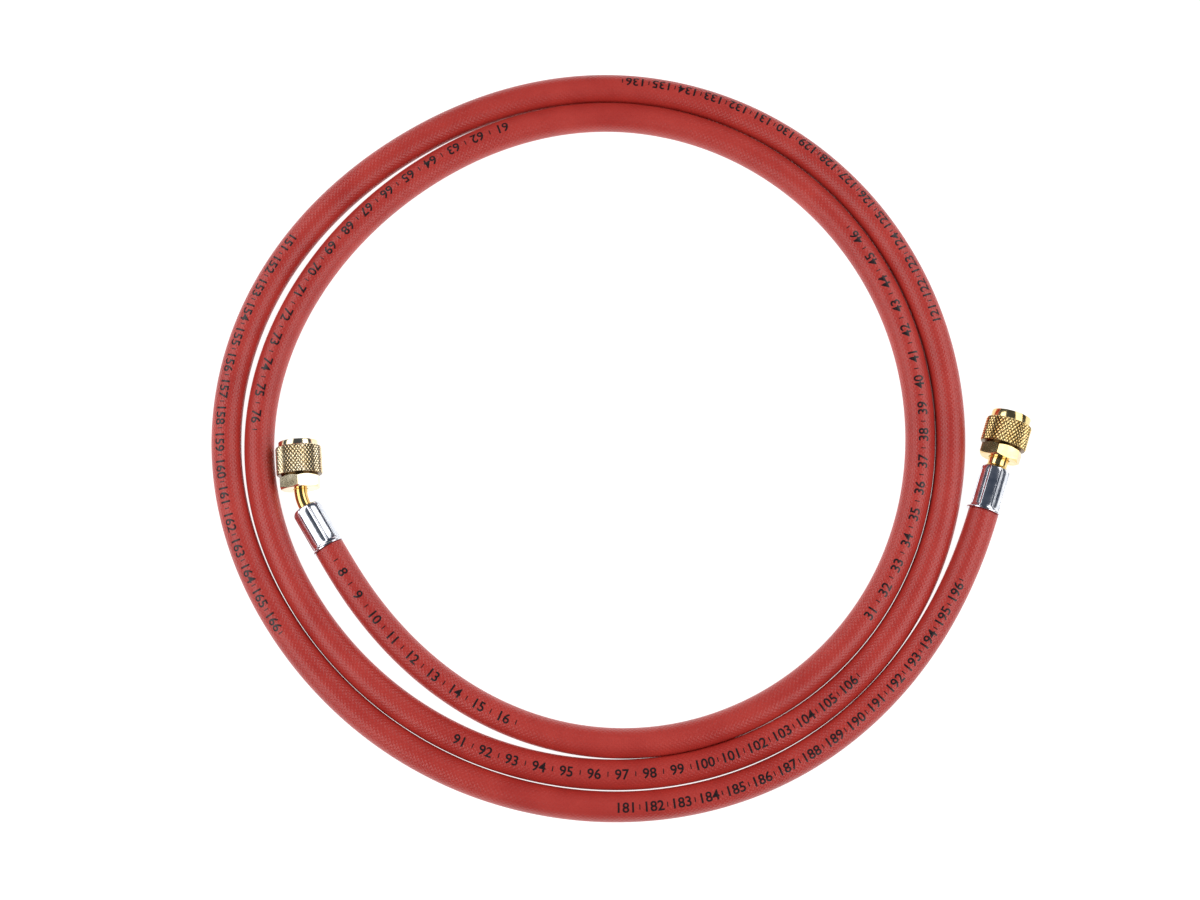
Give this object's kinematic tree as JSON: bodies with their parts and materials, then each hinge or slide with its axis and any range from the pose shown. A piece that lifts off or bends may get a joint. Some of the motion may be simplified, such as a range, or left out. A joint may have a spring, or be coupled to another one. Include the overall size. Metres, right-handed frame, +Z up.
{
  "type": "refrigerant charging hose",
  "caption": "Red rubber refrigerant charging hose in a flat loose coil, with a crimped ferrule and a brass flare swivel nut on each end, one stem bent and one straight.",
  "frame": {"origin": "on the floor, under the middle of the whole hose's box", "axes": "+Z up from the floor, +X from the angled end's side of the coil to the straight end's side, +Y the way both nuts point"},
  "size_m": [0.3043, 0.2823, 0.017],
  "materials": {
    "red_rubber": "matte, with a faint braid showing through",
    "plated_steel": "bright plated, crimped to flats",
    "brass": "bright machined, with a diamond knurl on the nuts",
    "black_rubber": "matte"
  },
  "bodies": {
    "hose_line": {"hose": "red_rubber", "angled_ferrule": "plated_steel", "angled_stem": "brass", "angled_gasket": "black_rubber", "core_depressor": "brass", "straight_ferrule": "plated_steel", "straight_stem": "brass", "straight_gasket": "black_rubber"},
    "angled_swivel": {"angled_nut": "brass"},
    "straight_swivel": {"straight_nut": "brass"}
  },
  "joints": [
    {"name": "angled_nut_turn", "type": "hinge", "parent": "hose_line", "child": "angled_swivel", "pos_m": [-0.1186, -0.02006, 0.0085], "axis": [-0.08, 0.9968, 0], "continuous": true},
    {"name": "straight_nut_turn", "type": "hinge", "parent": "hose_line", "child": "straight_swivel", "pos_m": [0.13938, -0.00882, 0.0085], "axis": [0.3057, 0.9521, 0], "continuous": true}
  ]
}
